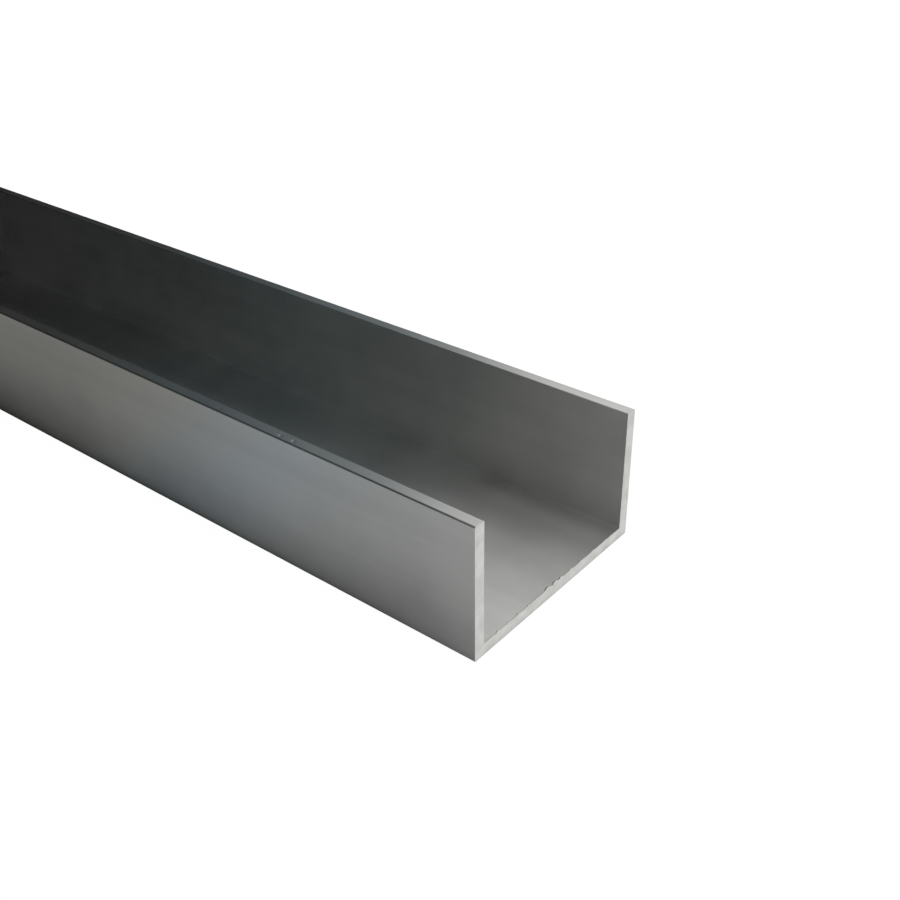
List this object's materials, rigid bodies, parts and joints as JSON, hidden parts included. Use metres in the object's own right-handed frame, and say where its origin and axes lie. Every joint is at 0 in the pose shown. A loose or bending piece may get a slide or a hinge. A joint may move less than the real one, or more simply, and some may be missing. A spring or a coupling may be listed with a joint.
{
  "type": "metal channel section",
  "caption": "Straight extruded aluminium U channel: a flat web with a square-cornered flange along each side, an open trough between them, and ends sawn square.",
  "frame": {"origin": "middle of the back face of the web, halfway along the length", "axes": "+X along the length, +Y across the web, +Z from the back of the web up to the flange tips"},
  "size_m": [1, 0.06, 0.035],
  "materials": {
    "mill_aluminium": "mill finish as extruded, satin, with fine lengthways die lines; sawn ends lighter and matt"
  },
  "bodies": {
    "root": {"u_channel": "mill_aluminium"}
  },
  "joints": []
}
